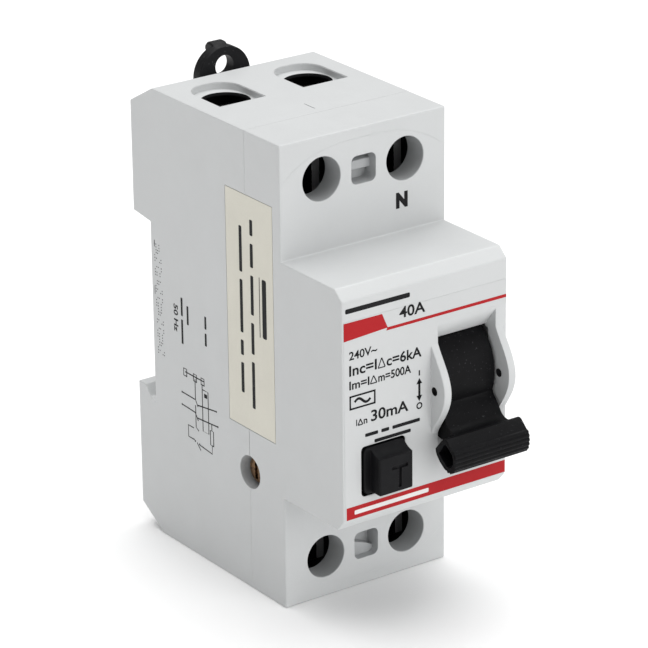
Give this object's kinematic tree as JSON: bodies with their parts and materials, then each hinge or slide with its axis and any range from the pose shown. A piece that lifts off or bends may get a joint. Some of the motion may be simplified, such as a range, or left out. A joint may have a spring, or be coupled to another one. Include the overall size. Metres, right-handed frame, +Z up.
{
  "type": "residual current device",
  "caption": "Two-pole residual current device for a DIN rail: toggle, test button, screw terminals, contacts, trip relay and core-balance transformer in a light grey case.",
  "frame": {"origin": "middle of the flat seat in the back recess that rests on the rail", "axes": "+X is the device's right seen from the front, the front faces -Y, and +Z is up"},
  "size_m": [0.036, 0.0733, 0.0924],
  "materials": {
    "housing": "light grey moulded thermoset, fine satin",
    "label": "printed film, satin",
    "sticker": "cream paper sticker, matt",
    "black_plastic": "black moulded plastic, satin",
    "dark_plastic": "dark grey moulded plastic",
    "chassis_plastic": "grey moulded plastic",
    "blue_plastic": "dark blue moulded plastic",
    "steel": "zinc-plated steel",
    "spring_steel": "bright spring wire",
    "brass": "plain brass",
    "copper": "bare copper",
    "winding": "enamelled copper wire",
    "silver": "silver contact alloy",
    "red_jacket": "insulated wire, red",
    "blue_jacket": "insulated wire, blue",
    "lead_jacket": "thin insulated wire",
    "resistor_body": "lacquered resistor"
  },
  "bodies": {
    "case": {"rear_base": "housing", "front_cover": "housing", "tie_rivet_lower": "brass", "tie_rivet_upper": "brass", "front_label": "label", "side_sticker": "sticker", "din_clip_spring": "spring_steel", "toggle_pin": "steel", "carrier_axle": "steel", "line_bar_left": "copper", "line_bar_right": "copper", "load_bar_left": "copper", "load_bar_right": "copper", "fixed_contact_tip_left": "silver", "fixed_contact_tip_right": "silver", "relay_housing": "blue_plastic", "relay_yoke": "steel", "relay_coil": "winding", "relay_spring": "spring_steel", "trip_lever_pin": "steel", "trip_lever_spring": "spring_steel", "mechanism_chassis": "chassis_plastic", "core_case": "dark_plastic", "core_ring": "steel", "core_lid": "dark_plastic", "secondary_winding": "winding", "primary_conductor_left": "red_jacket", "primary_conductor_right": "blue_jacket", "test_lead_load": "lead_jacket", "test_lead_line": "lead_jacket", "secondary_lead_a": "lead_jacket", "secondary_lead_b": "lead_jacket", "test_contact_wire": "spring_steel", "test_resistor": "resistor_body"},
    "toggle": {"toggle": "black_plastic", "toggle_spring": "spring_steel"},
    "link": {"toggle_link": "steel"},
    "carrier": {"contact_carrier": "dark_plastic", "moving_contact_arm_left": "copper", "moving_contact_arm_right": "copper", "moving_contact_tip_left": "silver", "moving_contact_tip_right": "silver", "contact_spring_left": "spring_steel", "contact_spring_right": "spring_steel"},
    "plunger": {"relay_plunger": "steel"},
    "trip_lever": {"trip_lever": "dark_plastic"},
    "test_button": {"test_button": "black_plastic", "test_button_spring": "spring_steel"},
    "din_clip": {"din_clip": "black_plastic"},
    "screw_line_left": {"terminal_screw_line_left": "steel"},
    "cage_line_left": {"terminal_cage_line_left": "steel"},
    "screw_line_right": {"terminal_screw_line_right": "steel"},
    "cage_line_right": {"terminal_cage_line_right": "steel"},
    "screw_load_left": {"terminal_screw_load_left": "steel"},
    "cage_load_left": {"terminal_cage_load_left": "steel"},
    "screw_load_right": {"terminal_screw_load_right": "steel"},
    "cage_load_right": {"terminal_cage_load_right": "steel"}
  },
  "joints": [
    {"name": "toggle_hinge", "type": "hinge", "parent": "case", "child": "toggle", "pos_m": [0.009, -0.0508, 0], "axis": [-1, 0, 0], "range_deg": [0, 74]},
    {"name": "link_pivot", "type": "hinge", "parent": "toggle", "child": "link", "pos_m": [0.0019, -0.05497, 0.0017], "axis": [-1, 0, 0], "range_deg": [-74, 0]},
    {"name": "carrier_hinge", "type": "hinge", "parent": "case", "child": "carrier", "pos_m": [0, -0.025, 0.002], "axis": [-1, 0, 0], "range_deg": [0, 19.5]},
    {"name": "plunger_slide", "type": "slide", "parent": "case", "child": "plunger", "axis": [0, 0, 1], "range_m": [0, 0.0015]},
    {"name": "trip_lever_hinge", "type": "hinge", "parent": "case", "child": "trip_lever", "pos_m": [-0.005, -0.0335, 0.02], "axis": [-1, 0, 0], "range_deg": [0, 16.4]},
    {"name": "test_button_slide", "type": "slide", "parent": "case", "child": "test_button", "axis": [0, 1, 0], "range_m": [0, 0.0018], "stiffness_N_per_m": 400, "springref_m": -0.002},
    {"name": "din_clip_slide", "type": "slide", "parent": "case", "child": "din_clip", "axis": [0, 0, 1], "range_m": [0, 0.004], "stiffness_N_per_m": 1500, "springref_m": -0.003, "deforming": ["din_clip_spring"]},
    {"name": "screw_line_left_hinge", "type": "hinge", "parent": "case", "child": "screw_line_left", "pos_m": [-0.00905, -0.031, 0.03625], "axis": [0, 1, 0], "range_deg": [0, 3330]},
    {"name": "cage_line_left_slide", "type": "slide", "parent": "case", "child": "cage_line_left", "axis": [0, -1, 0], "range_m": [0, 0.0074]},
    {"name": "screw_line_right_hinge", "type": "hinge", "parent": "case", "child": "screw_line_right", "pos_m": [0.00905, -0.031, 0.03625], "axis": [0, 1, 0], "range_deg": [0, 3330]},
    {"name": "cage_line_right_slide", "type": "slide", "parent": "case", "child": "cage_line_right", "axis": [0, -1, 0], "range_m": [0, 0.0074]},
    {"name": "screw_load_left_hinge", "type": "hinge", "parent": "case", "child": "screw_load_left", "pos_m": [-0.00905, -0.031, -0.03625], "axis": [0, 1, 0], "range_deg": [0, 3330]},
    {"name": "cage_load_left_slide", "type": "slide", "parent": "case", "child": "cage_load_left", "axis": [0, -1, 0], "range_m": [0, 0.0074]},
    {"name": "screw_load_right_hinge", "type": "hinge", "parent": "case", "child": "screw_load_right", "pos_m": [0.00905, -0.031, -0.03625], "axis": [0, 1, 0], "range_deg": [0, 3330]},
    {"name": "cage_load_right_slide", "type": "slide", "parent": "case", "child": "cage_load_right", "axis": [0, -1, 0], "range_m": [0, 0.0074]}
  ],
  "couplings": [
    {"joint": "link_pivot", "follows": "toggle_hinge", "ratio": -1},
    {"joint": "carrier_hinge", "follows": "toggle_hinge", "ratio": 0.2635},
    {"joint": "trip_lever_hinge", "follows": "plunger_slide", "rad_per_m": 190.8},
    {"joint": "screw_line_left_hinge", "follows": "cage_line_left_slide", "rad_per_m": 7854},
    {"joint": "screw_line_right_hinge", "follows": "cage_line_right_slide", "rad_per_m": 7854},
    {"joint": "screw_load_left_hinge", "follows": "cage_load_left_slide", "rad_per_m": 7854},
    {"joint": "screw_load_right_hinge", "follows": "cage_load_right_slide", "rad_per_m": 7854}
  ]
}
